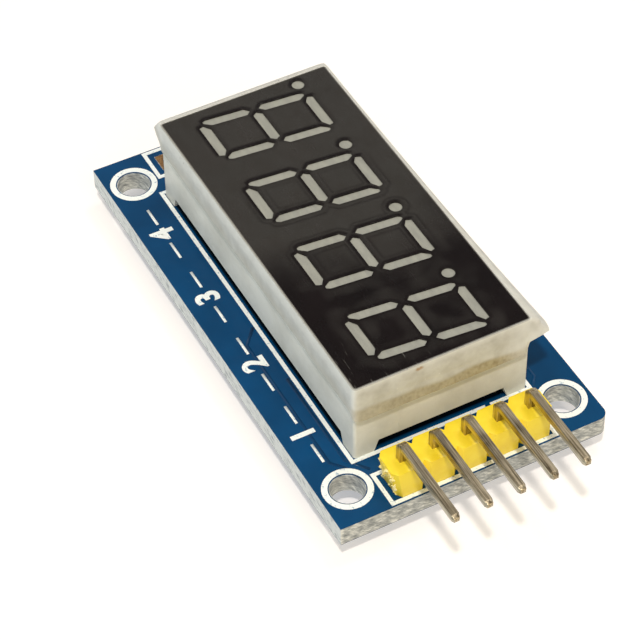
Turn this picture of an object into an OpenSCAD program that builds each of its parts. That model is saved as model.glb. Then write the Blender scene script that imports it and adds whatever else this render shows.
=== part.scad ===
// Seven segment display module: a four digit light display on a small circuit board,
// with a row of bent header pins at one short end. All sizes are in millimetres.
// X runs along the board in reading direction, away from the header.
// Y is up in reading direction, and Z rises from the board.
// The origin is the middle of the four corner holes, on the underside of the board.

/* [Board] */
// Thickness of the glass-fibre plate
board_t = 1.6; // [1.2:0.1:2]
// Radius of the two corners on the lower long side
corner_r = 0.7; // [0.3:0.1:1.2]
// Diameter of the corner holes
hole_d = 2.5; // [2:0.1:2.8]
// Centre of a corner hole to the short edge of the board
hole_in_x = 2.9; // [2.7:0.05:4]
// Centre of a corner hole to the long edge of the board
hole_in_y = 2.1; // [1.9:0.05:3.5]
// Gap along X between the white rings and the outline of the display
ring_gap_x = 0.055; // [0.05:0.005:0.5]
// Gap along Y between the white rings and the boxes round the pin rows
ring_gap_y = 0.205; // [0.1:0.005:0.5]
// Thickness of the blue coat
mask_t = 0.04; // [0.03:0.01:0.08]
// Thickness of the white ink
ink_t = 0.03; // [0.02:0.01:0.06]
// Outer diameter of the white rings
ring_d = 3.55; // [3.4:0.05:3.7]
// Width of the line of the white rings
ring_line = 0.35; // [0.2:0.05:0.4]
// Width of the line of the white outlines
ink_line = 0.22; // [0.15:0.01:0.25]

/* [Display] */
// Length of the housing along X
housing_l = 30.2; // [30:0.1:31]
// Width of the housing along Y
housing_w = 13.9; // [13.5:0.1:14.2]
// Height of the housing from its feet to its face
housing_h = 7; // [6.6:0.1:8]
// Radius of the upright edges of the housing
housing_r = 0.25; // [0.1:0.05:0.5]
// Thickness of the housing's walls
wall_t = 0.6; // [0.5:0.05:0.7]
// Height of the corner feet
foot_h = 1; // [0.6:0.1:1.2]
// Length of a corner foot along each wall
foot_l = 1.6; // [1.2:0.1:2]
// How far the inner end of a foot slopes
foot_run = 0.35; // [0.1:0.05:0.6]
// Side of the housing to the middle of a row of its pins
row_in = 1.87; // [1.6:0.01:2]
// Thickness of the resin that closes the back
pot_t = 1; // [0.8:0.1:1.4]
// Thickness of the light board
led_t = 0.8; // [0.6:0.1:1]
// Thickness of the black layer on the face
overlay_t = 0.1; // [0.05:0.01:0.2]
// Height of a digit
digit_h = 9.1; // [8.6:0.1:9.6]
// Slant of the digits in degrees
digit_slant = 5.2; // [0:0.2:8]
// Width of a segment
seg_w = 0.76; // [0.6:0.02:0.84]
// Middle of a digit to the middle of its upright segments
col_x = 2.02; // [1.9:0.02:2.1]
// Diameter of the decimal point
dot_d = 0.98; // [0.8:0.02:1.1]

/* [Protective film] */
// Thickness of the film
film_t = 0.08; // [0.05:0.01:0.12]
// How far the film hangs down at the header end
film_front = 3; // [2.4:0.1:3.4]
// How far the film hangs down at the upper long side
film_left = 2.2; // [1.6:0.1:3]
// How far the film flares out at the lower long side, near the header
film_right_out = 1.4; // [0.8:0.1:1.8]
// How far the film flares out at the lower long side, at its far end
film_right_end = 0.4; // [0.3:0.1:1.4]
// How far the film hangs down at the lower long side, near the header
film_right_drop = 1.35; // [1:0.05:1.9]
// How far the film flares out at the far end
film_back_out = 1.15; // [0.8:0.05:1.9]
// How far the film hangs down at the far end
film_back_drop = 0.65; // [0.4:0.05:1]

/* [Header] */
// Height of the header's body
body_h = 2.5; // [2.2:0.05:2.6]
// Width of the header's body along X
body_w = 2.54; // [2.3:0.02:2.6]
// Depth of the notches between units along X
notch_x = 0.45; // [0.3:0.05:0.6]
// Half width of the notches between units along Y
notch_y = 0.33; // [0.2:0.01:0.4]
// Length of the stub left where the strip was snapped off
stub_l = 0.25; // [0.1:0.05:0.35]
// Side of a square header pin
pin_w = 0.58; // [0.54:0.02:0.66]
// Top of a bent pin above the board
pin_top = 4.25; // [3.9:0.05:4.8]
// Inner radius of the bend
bend_r = 0.16; // [0.1:0.02:0.3]
// Axis of the upright of a pin to its tip
pin_reach = 7.4; // [6:0.1:9]
// Length of the sloped end of a pin
tip_l = 0.3; // [0.2:0.05:0.8]
// Axis of the header to the short edge
header_in = 1.7; // [1.65:0.05:1.9]

/* [Underside] */
// Length of the pins below the board
tail = 1.3; // [1:0.1:1.5]
// Diameter of a display pin
lead_d = 0.5; // [0.4:0.02:0.56]
// Diameter of the foot of a solder joint
joint_d = 1.5; // [1.3:0.05:1.7]
// Length of a driver's case
chip_l = 9.9; // [9.6:0.1:10.2]
// Height of a driver above the board
chip_h = 1.75; // [1.65:0.05:1.9]
// Side of a driver's case to the toe of its leads
lead_run = 1.05; // [0.95:0.05:1.2]
// Toe of a driver's leads to the nearest row of display pins
chip_gap = 2.08; // [1.9:0.02:2.3]
// Gap between the two drivers
chip_apart = 3.3; // [2.8:0.1:3.8]
// Gap between a driver and the middle of the resistor row beyond it
resistor_off = 2.65; // [2:0.05:3]
// Gap between the lands of two resistors in a row
resistor_gap = 0.4; // [0.3:0.05:0.6]

/* [Hidden] */
$fn = 48;
pitch = 2.54;
header_n = 5;
digits = 4;
row_pins = 6;
clear = 0.05;
cut = 1;
pot_in = 0.2;
ring_out = clear + ink_line + ring_d / 2;
hx = housing_l / 2 + ring_gap_x + ring_out;
hy = header_n * pitch / 2 + ring_gap_y + ring_out;
board_l = 2 * (hx + hole_in_x);
board_w = 2 * (hy + hole_in_y);
header_x = board_l / 2 - header_in;
rows_apart = housing_w - 2 * row_in;
z_top = board_t + mask_t;
z_low = z_top + foot_h + pot_in;
z_pot = z_low + pot_t;
z_led = z_pot + led_t;
z_face = z_top + housing_h;
reflector_h = z_face - z_led;
z_film = z_face + overlay_t;
in_l = housing_l - 2 * wall_t;
in_w = housing_w - 2 * wall_t;
digit_pitch = housing_l / digits;
digit_off = -0.1;
seg_gap = 0.19;
mid_gap = 0.32;
mid_point = 0.28;
bar_outer = 0.13;
bar_inner = 0.55;
post_low = 0.33;
post_shoulder = 0.72;
post_top = 0.12;
dot_share = 0.2316;
well_over = 0.01;
ink_break = 0.5;
ink_break_y = -3.7;
tip_share = 0.7;
lead_hole_r = 0.4;
pin_hole_r = 0.5;
plate_t = 0.05;
spare_pad = 1.6;
die = 0.3;
die_h = 0.15;
chip_lift = 0.15;
chip_draft = 0.1;
dimple_in = 1;
dimple_r = 0.4;
dimple_h = 0.1;
lead_w = 0.42;
lead_t = 0.2;
chip_leads = 8;
chip_end = 0.505;
lead_pitch = (chip_l - 2 * chip_end) / (chip_leads - 1);
chip_span = rows_apart - 2 * chip_gap;
chip_w = chip_span - 2 * lead_run;
chip_x = (chip_apart + chip_l) / 2;
lead_foot = 0.7;
part_l = 1.6;
part_w = 0.8;
end_l = 0.3;
resistor_h = 0.45;
capacitor_h = 0.8;
capacitor_y = 1.3;
land_in = 0.4;
land_out = 1.15;
land_toe = 0.35;
land_heel = 0.15;
land_side = 0.05;
resistor_x = chip_x + chip_l / 2 + resistor_off;
resistor_pitch = 2 * land_out + resistor_gap;
end_step = 0.02;
lead_lean = 0.08;
// Which piece to draw, or all of them

// Plan of the board, with the lower corners rounded
module board_plan() {
    difference() {
        square([board_l, board_w], center = true);
        for (s = [-1, 1])
            translate([s * board_l / 2, -board_w / 2])
                square(2 * corner_r, center = true);
    }
    for (s = [-1, 1])
        translate([s * (board_l / 2 - corner_r), corner_r - board_w / 2])
            circle(corner_r);
}

// Places its child at each corner hole
module at_corners() {
    for (x = [-hx, hx], y = [-hy, hy])
        translate([x, y])
            children();
}

// Where display pin i stands: 1 to 6 on the lower row, 7 to 12 back along the upper row
function lead_pos(i) = [
    (i <= row_pins ? 1 : -1) * (((i - 1) % row_pins) - (row_pins - 1) / 2) * pitch,
    (i <= row_pins ? -1 : 1) * rows_apart / 2
];

// Where pin i of a header row stands, counted from the upper long side
function pin_y(i) = ((header_n + 1) / 2 - i) * pitch;

// Places its child at each display pin
module at_leads() {
    for (i = [1:2 * row_pins])
        translate(lead_pos(i))
            children();
}

// Places its child at each header pin of the row on side s
module at_pins(s) {
    for (i = [1:header_n])
        translate([s * header_x, pin_y(i)])
            children();
}

// Where resistor i lies, four at each end of the board
function resistor_pos(i) = [
    (i <= 4 ? -1 : 1) * resistor_x,
    (((i - 1) % 4) - 1.5) * resistor_pitch
];

// Glass-fibre plate with every hole
module circuit_board() color("#A7A89D") linear_extrude(board_t) difference() {
    board_plan();
    at_corners() circle(hole_d / 2);
    at_leads() circle(lead_hole_r);
    for (s = [-1, 1])
        at_pins(s) circle(pin_hole_r);
}

// Plan of the coat, without the holes and the lands that differ between the two sides
module mask_plan() {
    difference() {
        board_plan();
        at_corners() circle(hole_d / 2 + clear);
        for (i = [2:header_n])
            translate([header_x, pin_y(i)])
                circle(spare_pad / 2 + clear);
        translate([header_x, pin_y(1)])
            square(spare_pad + 2 * clear, center = true);
    }
}

// Blue coat on the upper side
module solder_mask_top() color("#12457A") translate([0, 0, board_t])
    linear_extrude(mask_t) difference() {
        mask_plan();
        at_leads() circle(lead_hole_r + clear);
        at_pins(-1) circle(pin_hole_r + clear);
    }

// Blue coat on the underside, open at each joint and land
module solder_mask_bottom() color("#12457A") translate([0, 0, -mask_t])
    linear_extrude(mask_t) difference() {
        mask_plan();
        at_leads() circle(joint_d / 2 + clear);
        at_pins(-1) circle(joint_d / 2 + clear);
        land_plan(clear);
    }

// One line round a rectangle
module frame(l, w) {
    difference() {
        square([l + 2 * ink_line, w + 2 * ink_line], center = true);
        square([l, w], center = true);
    }
}

// White ink: rings, the outline of the display and a box round each pin row
module silkscreen_top() color("#EEF3F0") translate([0, 0, z_top]) linear_extrude(ink_t) {
    at_corners() difference() {
        circle(ring_d / 2);
        circle(max(ring_d / 2 - ring_line, hole_d / 2 + 2 * clear));
    }
    difference() {
        frame(housing_l + 2 * clear, housing_w + 4 * clear);
        translate([-housing_l / 2, ink_break_y])
            square([4 * ink_line, ink_break], center = true);
    }
    for (s = [-1, 1])
        translate([s * header_x, 0])
            frame(body_w + 2 * clear, header_n * pitch + 2 * clear);
}

// Plated hole of the empty pin row, with a land on both sides; the first one is square
module spare_hole(i) color("#B08A55") translate([header_x, pin_y(i), 0]) difference() {
    union() {
        translate([0, 0, -mask_t]) cylinder(r = pin_hole_r, h = board_t + 2 * mask_t);
        for (z = [-mask_t, board_t])
            translate([0, 0, z]) linear_extrude(mask_t)
                if (i == 1) square(spare_pad, center = true);
                else circle(spare_pad / 2);
    }
    translate([0, 0, -cut]) cylinder(r = pin_hole_r - plate_t, h = board_t + 2 * cut);
}

// Plan of a housing-sized layer with rounded corners, grown by g
module housing_plan(g) {
    l = housing_l + 2 * g;
    w = housing_w + 2 * g;
    r = housing_r + g;
    square([l - 2 * r, w], center = true);
    square([l, w - 2 * r], center = true);
    for (x = [-1, 1], y = [-1, 1])
        translate([x * (l / 2 - r), y * (w / 2 - r)])
            circle(r);
}

// Middle of digit i along X
function digit_x(i) = digit_off + (i - (digits + 1) / 2) * digit_pitch;

// Leans a point of a digit
function lean(p) = [p[0] + p[1] * tan(digit_slant), p[1]];

// Outlines of the segments in the order a to g, upright, about the middle of the digit
hw = seg_w / 2;
row_h = digit_h / 2 - hw;
bar_tip = col_x - seg_gap;
mid_tip = col_x - mid_gap;
post_end = row_h - post_top;
bar = [
    [-bar_tip, 0], [bar_inner - bar_tip, -hw], [bar_tip - bar_inner, -hw],
    [bar_tip, 0], [bar_tip - bar_outer, hw], [bar_outer - bar_tip, hw]
];
mid = [
    [-mid_tip, 0], [mid_point - mid_tip, -hw], [mid_tip - mid_point, -hw],
    [mid_tip, 0], [mid_tip - mid_point, hw], [mid_point - mid_tip, hw]
];
post = [
    [0, post_low], [hw, post_shoulder], [hw, post_end - 2 * bar_outer], [hw - bar_outer, post_end],
    [0, post_end], [-hw, post_end - bar_inner], [-hw, post_shoulder]
];
function placed(shape, x, y, sx, sy) = [for (p = shape) lean([x + sx * p[0], y + sy * p[1]])];
segments = [
    placed(bar, 0, row_h, 1, 1),
    placed(post, col_x, 0, 1, 1),
    placed(post, col_x, 0, 1, -1),
    placed(bar, 0, -row_h, 1, -1),
    placed(post, -col_x, 0, -1, -1),
    placed(post, -col_x, 0, -1, 1),
    placed(mid, 0, 0, 1, 1)
];
digit_room = digit_pitch - 2 * (col_x + hw) - dot_d;
dot_pos = lean([col_x + hw + dot_d / 2 + dot_share * digit_room, -row_h]);
post_mid = (post_low + post_end) / 2;
die_pos = [
    lean([0, row_h]), lean([col_x, post_mid]), lean([col_x, -post_mid]), lean([0, -row_h]),
    lean([-col_x, -post_mid]), lean([-col_x, post_mid]), [0, 0], dot_pos
];

// Plan of the eight lit areas of digit i
module digit_plan(i) {
    translate([digit_x(i), 0]) {
        for (s = segments)
            polygon(s);
        translate(dot_pos) circle(dot_d / 2);
    }
}

// Cut between two feet along a wall: low edge wide, upper edge narrower, w deep
module foot_gap(l, w) {
    a = l / 2 - foot_l;
    rotate([90, 0, 0])
        linear_extrude(w, center = true)
            polygon([
                [-a, -cut], [a, -cut], [a, 0],
                [a - foot_run, foot_h], [foot_run - a, foot_h], [-a, 0]
            ]);
}

// White shell: four feet, hollow back, and a well behind each segment
module display_housing() color("#CDCFC9") difference() {
    translate([0, 0, z_top]) linear_extrude(housing_h) housing_plan(0);
    translate([-in_l / 2, -in_w / 2, z_top - cut]) cube([in_l, in_w, z_led - z_top + cut]);
    translate([0, 0, z_top]) {
        foot_gap(housing_l, housing_w + 2 * cut);
        rotate([0, 0, 90]) foot_gap(housing_w, housing_l + 2 * cut);
    }
    for (i = [1:digits])
        translate([0, 0, z_led - well_over]) linear_extrude(reflector_h + cut) digit_plan(i);
}

// Black layer on the face, open over each segment
module face_overlay() color("#25211F") translate([0, 0, z_face]) linear_extrude(overlay_t) difference() {
    housing_plan(0);
    for (i = [1:digits])
        digit_plan(i);
}

// Cast epoxy in the wells of digit i, round the light dice
module digit_segments(i) color("#A9A99E") difference() {
    translate([0, 0, z_led]) linear_extrude(reflector_h) digit_plan(i);
    dice_shape(i);
}

module dice_shape(i) {
    for (p = die_pos)
        translate([digit_x(i) + p[0] - die / 2, p[1] - die / 2, z_led])
            cube([die, die, die_h]);
}

// Light-emitting chips of digit i
module digit_dice(i) color("#D8C98A") dice_shape(i);

// Inner board that carries the dice and the pins
module light_board() color("#C9B36A") translate([0, 0, z_pot]) linear_extrude(led_t) difference() {
    square([in_l - 2 * clear, in_w - 2 * clear], center = true);
    at_leads() circle(lead_d / 2);
}

// Resin that closes the back of the display
module potting() color("#B9B7A6") translate([0, 0, z_low]) linear_extrude(z_pot - z_low) difference() {
    square([in_l, in_w], center = true);
    at_leads() circle(lead_d / 2);
}

// Round pin of the display, from the light board to below the circuit board
module display_pin(i) color("#B4B2AB") translate(concat(lead_pos(i), [-tail]))
    cylinder(d = lead_d, h = z_led + tail);

// Solder round a pin of the given half width: fills the hole and rises along the tail
module joint(inner, hole) {
    r = joint_d / 2;
    d = 0.9 * tail;
    rotate_extrude()
        polygon([
            [0, board_t], [hole, board_t], [hole, 0], [r, 0], [r, -mask_t],
            [mixed(inner, r, 0.72), -0.2 * d], [mixed(inner, r, 0.36), -0.5 * d],
            [inner + clear, -d], [0, -d]
        ]);
}

// Solder joints of the display's pins
module display_solder() color("#B9BABA") difference() {
    at_leads() joint(lead_d / 2, lead_hole_r);
    at_leads() translate([0, 0, -2 * tail]) cylinder(d = lead_d, h = board_t + 4 * tail);
}

// Solder joints of the header's pins
module header_solder() color("#B9BABA") difference() {
    at_pins(-1) joint(pin_w / 2 * 1.3, pin_hole_r);
    at_pins(-1) translate([-pin_w / 2, -pin_w / 2, -2 * tail]) cube([pin_w, pin_w, board_t + 4 * tail]);
}

// Film on the face. Its edge hangs round the housing as a skirt: folded down at the header end and the upper
// long side, flared at the other two, with an ear where a fold meets a flare. Each row gives a side's reach
// half way and at its edge, its drop, and the share of the drop that is passed half way.
film_gap = 0.12;
film_lift = 0.3;
film_rows = [
    [film_gap, film_lift, film_front, 0.55],
    [0.56 * film_right_out, film_right_out, film_right_drop, 0.42],
    [0.54 * film_back_out, film_back_out, film_back_drop, 0.35],
    [film_gap, film_gap + clear, film_left, 0.5]
];
film_far = [0.56 * film_right_end, film_right_end, film_back_drop, 0.42];
// Round the corner after each side: share of that side's reach, share of the next side's reach, and drop
film_turns = [
    [
        [[0.5, 1], [1, 0]], [[0.2, 0], [0.5, 1]],
        [[0, film_front], [0.2, 0.64 * film_front], [0.5, 1.2 * film_right_drop], [1, film_right_drop]]
    ],
    [[[0.5, 1], [1, 0]], [[0, 0], [0.5, 1]], [[0, film_back_drop], [1, film_back_drop]]],
    [
        [[0.5, 1], [0.8, 0]], [[0, 0], [0.5, 1]],
        [[0, film_back_drop], [0.5, 1.3 * film_back_drop], [0.8, 0.75 * film_left], [1, film_left]]
    ],
    [[[0.5, 1], [1, 0]], [[0, 0], [0.5, 1]], [[0, film_left], [1, film_front]]]
];
side_steps = 6;
arc_steps = 10;
film_r = housing_r;
film_ends = [
    [[-1, 1], [-1, -1]], [[-1, -1], [1, -1]], [[1, -1], [1, 1]], [[1, 1], [-1, 1]]
];
function mixed(a, b, f) = a + (b - a) * f;
function film_way(s) = let (a = 180 + 90 * s) [cos(a), sin(a)];
// Row part of the way along a side: the flare of the lower long side narrows to its far end
function film_row(s, f) = s == 1 ? mixed(film_rows[1], film_far, f) : film_rows[s];
function film_corner(c) = [c[0] * (housing_l / 2 - film_r), c[1] * (housing_w / 2 - film_r)];
// Station on a side and at a corner: point of the edge, way out, reach and drop half way and at the edge
function film_side(s, f) = let (
    u = film_way(s), r = film_row(s, f), ends = film_ends[s],
    c = mixed(film_corner(ends[0]), film_corner(ends[1]), f)
) [c + film_r * u, u, r[0] * u, r[2] * r[3], r[1] * u, r[2]];
function film_turn(s, f) = let (
    u = film_way(s + f), a = film_row(s, 1), b = film_row((s + 1) % 4, 0), t = film_turns[s],
    ua = lookup(f, t[0]) * film_way(s), ub = lookup(f, t[1]) * film_way(s + 1), drop = lookup(f, t[2])
) [
    film_corner(film_ends[s][1]) + film_r * u, u, a[0] * ua + b[0] * ub,
    drop * mixed(a[3], b[3], f), a[1] * ua + b[1] * ub, drop
];
film_stations = [
    for (s = [0:3]) each concat(
        [for (k = [0:side_steps]) film_side(s, k / side_steps)],
        [for (k = [1:arc_steps - 1]) film_turn(s, k / arc_steps)]
    )
];
film_n = len(film_stations);
film_skin = 0.7 * film_t;
function film_point(st, way, z) = concat(st[0] + way, z_film + z);
// Four rings of the outer side and four of the inner side, from the face down to the edge and back
film_points = concat(
    [for (st = film_stations) film_point(st, [0, 0], film_t)],
    [for (st = film_stations) film_point(st, (film_t + clear) * st[1], -0.5 * film_t)],
    [for (st = film_stations) film_point(st, st[2] + film_skin * st[1], film_skin - st[3])],
    [for (st = film_stations) film_point(st, st[4] + film_skin * st[1], film_skin - st[5])],
    [for (st = film_stations) film_point(st, st[4], -st[5])],
    [for (st = film_stations) film_point(st, st[2], -st[3])],
    [for (st = film_stations) film_point(st, clear * st[1], -0.5 * film_t)],
    [for (st = film_stations) film_point(st, 0.5 * clear * st[1], 0)],
    [[0, 0, z_film + film_t], [0, 0, z_film]]
);
film_faces = concat(
    [for (i = [0:film_n - 1]) [8 * film_n, (i + 1) % film_n, i]],
    [for (r = [0:6], i = [0:film_n - 1]) let (j = (i + 1) % film_n, a = r * film_n, b = a + film_n)
        each [[a + i, a + j, b + i], [a + j, b + j, b + i]]],
    [for (i = [0:film_n - 1]) [8 * film_n + 1, 7 * film_n + i, 7 * film_n + (i + 1) % film_n]]
);

module protective_film() color("#C9C8BE", 0.5) polyhedron(film_points, film_faces);

// Plan of the header's body: eight-sided units in a row on a common spine
module header_plan() {
    x = body_w / 2;
    y = pitch / 2;
    for (i = [1:header_n])
        translate([0, pin_y(i)])
            polygon([
                [-x, notch_y - y], [-x, y - notch_y], [notch_x - x, y], [x - notch_x, y],
                [x, y - notch_y], [x, notch_y - y], [x - notch_x, -y], [notch_x - x, -y]
            ]);
    square([body_w - 2 * notch_x, header_n * pitch], center = true);
}

// Header's body with a square hole for each pin, and the stub of the snapped-off neighbour
module header_body() color("#EFD32E") translate([-header_x, 0, z_top]) {
    linear_extrude(body_h) difference() {
        header_plan();
        for (i = [1:header_n])
            translate([0, pin_y(i)]) square(pin_w, center = true);
    }
    translate([notch_x - body_w / 2, header_n * pitch / 2 - clear, 0.15 * body_h])
        cube([body_w - 2 * notch_x, stub_l + clear, 0.75 * body_h]);
}

// Square pin: upright through the body, bent over its top, with a tip sloped on four sides
module header_pin(i) {
    h = pin_w / 2;
    z_arm = z_top + pin_top - pin_w;
    z_bend = z_arm - bend_r;
    x_bend = -h - bend_r;
    color("#9A8C78") translate([-header_x, pin_y(i), 0]) {
        translate([-h, -h, -tail]) cube([pin_w, pin_w, z_bend + tail]);
        translate([x_bend, h, z_bend]) rotate([90, 0, 0]) rotate_extrude(angle = 90)
            translate([bend_r, 0]) square(pin_w);
        difference() {
            translate([-pin_reach, -h, z_arm]) cube([pin_reach + x_bend, pin_w, pin_w]);
            for (a = [0, 90, 180, 270])
                translate([-pin_reach, 0, z_arm + h]) rotate([a, 0, 0]) tip_cut();
        }
    }
}

// Wedge taken off one side of a pin's end, which leaves tip_share of its half width
module tip_cut() {
    h = pin_w / 2;
    end = tip_share * h;
    slope = (h - end) / tip_l;
    rotate([90, 0, 0])
        linear_extrude(4 * h, center = true)
            polygon([[-cut, end - cut * slope], [tip_l, h], [tip_l, h + cut], [-cut, h + cut]]);
}

// Two lands of a small part lying along Y
module part_lands(g) {
    for (s = [-1, 1])
        translate([0, s * (land_in + land_out) / 2])
            square([part_w + 2 * land_side + 2 * g, land_out - land_in + 2 * g], center = true);
}

// Places its child at each lead of driver k, on both long sides
module at_chip_leads(k) {
    for (i = [1:chip_leads], s = [-1, 1])
        translate([(k == 1 ? -1 : 1) * chip_x + (i - (chip_leads + 1) / 2) * lead_pitch, s * chip_span / 2])
            rotate([0, 0, s > 0 ? 0 : 180])
                children();
}

// Plan of every land on the underside, grown by g
module land_plan(g) {
    l = land_toe + lead_foot + land_heel;
    for (k = [1, 2])
        at_chip_leads(k)
            translate([0, land_toe - l / 2])
                square([lead_w + 2 * land_side + 2 * g, l + 2 * g], center = true);
    for (i = [1:8])
        translate(resistor_pos(i)) part_lands(g);
    for (s = [-1, 1])
        translate([0, s * capacitor_y]) rotate([0, 0, 90]) part_lands(g);
}

module lands() color("#C2A25A") translate([0, 0, -mask_t]) linear_extrude(mask_t) land_plan(0);

// Puts its child upside down under the board, on the lands
module below() {
    translate([0, 0, -mask_t]) mirror([0, 0, 1]) children();
}

// Side view of a driver's case: drafted above and below the belt that holds the leads
module case_profile(l) {
    up = chip_h / 2;
    x = l / 2 - chip_draft;
    polygon([
        [-x, chip_lift], [x, chip_lift], [l / 2, up], [l / 2, up + lead_t],
        [x, chip_h], [-x, chip_h], [-l / 2, up + lead_t], [-l / 2, up]
    ]);
}

// Black case of driver k, drafted on all four sides
module driver_case(k) color("#2A2B2D") below()
    translate([(k == 1 ? -1 : 1) * chip_x, 0, 0]) difference() {
        intersection() {
            rotate([90, 0, 0]) linear_extrude(chip_w, center = true) case_profile(chip_l);
            rotate([90, 0, 90]) linear_extrude(chip_l, center = true) case_profile(chip_w);
        }
        translate([dimple_in - chip_l / 2, dimple_in - chip_w / 2, chip_h - dimple_h])
            cylinder(r = dimple_r, h = cut);
    }

// Sixteen bent leads of driver k
module driver_leads(k) color("#B7B8B6") below()
    at_chip_leads(k)
        rotate([90, 0, 90])
            linear_extrude(lead_w, center = true)
                lead_profile();

// Side view of a lead: flat foot, rising shank, and the shoulder that meets the case
module lead_profile() {
    up = chip_h / 2;
    polygon([
        [0, 0], [0, lead_t], [lead_t - lead_foot, lead_t], [lead_t - lead_foot - lead_lean, up + lead_t],
        [-lead_run, up + lead_t], [-lead_run, up], [-lead_foot - lead_lean, up], [-lead_foot, 0]
    ]);
}

// Body of a small part lying along Y, and its two metal ends
module part_body(h) {
    translate([-part_w / 2, end_l - part_l / 2, 0]) cube([part_w, part_l - 2 * end_l, h - end_step]);
}

module part_ends(h) {
    for (s = [-1, 1])
        translate([-part_w / 2, s * (part_l - end_l) / 2 - end_l / 2, 0]) cube([part_w, end_l, h]);
}

module resistor(i) color("#1F2022") below() translate(resistor_pos(i)) part_body(resistor_h);

module resistor_ends() color("#BFC0C0") below()
    for (i = [1:8])
        translate(resistor_pos(i)) part_ends(resistor_h);

module capacitor(i) color("#B58A5C") below()
    translate([0, (2 * i - 3) * capacitor_y]) rotate([0, 0, 90]) part_body(capacitor_h);

module capacitor_ends() color("#BFC0C0") below()
    for (s = [-1, 1])
        translate([0, s * capacitor_y]) rotate([0, 0, 90]) part_ends(capacitor_h);

circuit_board();
solder_mask_top();
solder_mask_bottom();
silkscreen_top();
for (i = [1:header_n]) spare_hole(i);
display_housing();
face_overlay();
for (i = [1:digits]) digit_segments(i);
for (i = [1:digits]) digit_dice(i);
light_board();
potting();
for (i = [1:2 * row_pins]) display_pin(i);
display_solder();
protective_film();
header_body();
for (i = [1:header_n]) header_pin(i);
header_solder();
lands();
for (i = [1:2]) driver_case(i);
for (i = [1:2]) driver_leads(i);
for (i = [1:8]) resistor(i);
resistor_ends();
for (i = [1:2]) capacitor(i);
capacitor_ends();
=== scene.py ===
"""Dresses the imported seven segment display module: its looks, its fine pieces, and the stage of its picture.

Laid out as an add-on and run as a script. All sizes are metres in the part's own frame: X in reading
direction away from the header, Y up in reading direction, Z out of the board.
"""

import math
import random
from contextlib import contextmanager
from functools import partial

import bmesh
import bpy
from mathutils import Matrix, Vector, noise
from mathutils.bvhtree import BVHTree


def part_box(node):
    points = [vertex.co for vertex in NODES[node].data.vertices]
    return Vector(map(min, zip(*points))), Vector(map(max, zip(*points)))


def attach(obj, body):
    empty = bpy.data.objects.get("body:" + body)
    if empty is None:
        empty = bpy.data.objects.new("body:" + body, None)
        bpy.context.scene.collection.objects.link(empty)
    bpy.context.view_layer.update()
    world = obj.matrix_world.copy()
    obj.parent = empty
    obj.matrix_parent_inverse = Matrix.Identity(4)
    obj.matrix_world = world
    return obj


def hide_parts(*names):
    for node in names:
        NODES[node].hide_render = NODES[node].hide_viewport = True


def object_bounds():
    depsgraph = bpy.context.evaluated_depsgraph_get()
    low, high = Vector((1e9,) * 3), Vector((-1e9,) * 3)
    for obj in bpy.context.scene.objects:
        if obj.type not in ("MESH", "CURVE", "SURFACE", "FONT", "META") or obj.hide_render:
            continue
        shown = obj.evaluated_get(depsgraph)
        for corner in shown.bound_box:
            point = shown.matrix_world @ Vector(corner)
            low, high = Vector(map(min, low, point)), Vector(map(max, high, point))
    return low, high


bl_info = {
    "name": "Seven segment display module",
    "version": (1, 0, 0),
    "blender": (4, 5, 0),
    "location": "View3D > Sidebar > Display",
    "description": "Dresses a four digit display module and sets up its picture",
    "category": "Object",
}

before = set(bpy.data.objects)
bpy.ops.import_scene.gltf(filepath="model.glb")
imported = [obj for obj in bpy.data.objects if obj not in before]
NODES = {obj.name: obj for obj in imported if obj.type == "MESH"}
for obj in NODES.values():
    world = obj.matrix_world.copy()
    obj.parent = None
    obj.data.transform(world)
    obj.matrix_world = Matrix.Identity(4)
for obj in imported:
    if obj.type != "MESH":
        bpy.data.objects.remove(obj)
CAD_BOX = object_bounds()
MM = 0.001

FACE_LOW, FACE_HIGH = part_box("face_overlay")
BOARD_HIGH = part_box("circuit_board")[1]
MASK_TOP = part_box("solder_mask_top")[1].z
MASK_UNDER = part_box("solder_mask_bottom")[0].z
# How deep a raised track is sunk in the coat, and how thick the ink is
SUNK = 0.005 * MM
INK = 0.03 * MM
# Marks on the film's points: air under it and the painted sheen it sets, folded part, crease whitened partly by
# painted light, tan band of painted reflection and shade, scuffed part
FILM_MARKS = ("air", "fold", "crease", "tint", "scuff")


def linear(text):
    """An sRGB hex colour as linear red, green, blue and alpha."""
    parts = [int(text[i : i + 2], 16) / 255 for i in (1, 3, 5)]
    return [p / 12.92 if p <= 0.04045 else ((p + 0.055) / 1.055) ** 2.4 for p in parts] + [1.0]


def ramp(x, low, high):
    """Smooth step from 0 at low to 1 at high."""
    t = max(0, min(1, (x - low) / (high - low)))
    return t * t * (3 - 2 * t)


def key(p):
    """A point's place to a hundredth of a micrometre, to find it by."""
    return tuple(round(c * 1e8) for c in p)


# Sizes and colours that a user would change


def size_prop(name, description, size):
    """Property for a length, from its millimetres."""
    return bpy.props.FloatProperty(
        name=name, description=description, default=size * MM, min=0, subtype="DISTANCE", unit="LENGTH", precision=5
    )


def colour_prop(name, description, text):
    """Property for a colour, from its sRGB hex value."""
    return bpy.props.FloatVectorProperty(
        name=name, description=description, default=linear(text)[:3], min=0, max=1, size=3, subtype="COLOR"
    )


def power_prop(name, default):
    """Property for the power of a lamp."""
    return bpy.props.FloatProperty(name=name, description="Power in watts", default=default, min=0, unit="POWER")


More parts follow.
